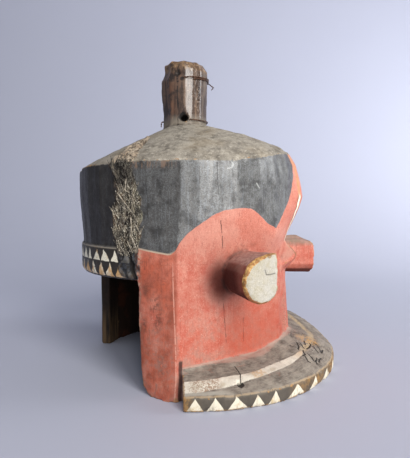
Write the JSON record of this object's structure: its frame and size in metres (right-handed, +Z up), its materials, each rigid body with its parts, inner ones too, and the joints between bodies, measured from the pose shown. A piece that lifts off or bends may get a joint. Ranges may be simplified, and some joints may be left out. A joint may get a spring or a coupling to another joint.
{
  "type": "helmet mask",
  "caption": "Carved wooden helmet mask with tubular eyes, a half-round collar plate under the red face, a black cap and a wire-bound stub post on its roof.",
  "frame": {"origin": "middle of the bounding box at the height of the lower edge the mask stands on", "axes": "+Z up, -Y the way the face looks, -X the mask's own right side"},
  "size_m": [0.2794, 0.2734, 0.317],
  "materials": {
    "painted_wood": "worn matt pigment over carved wood",
    "wire": "dark rusted wire"
  },
  "bodies": {
    "root": {"helmet": "painted_wood", "post_wire_upper": "wire", "post_wire_lower": "wire"}
  },
  "joints": []
}
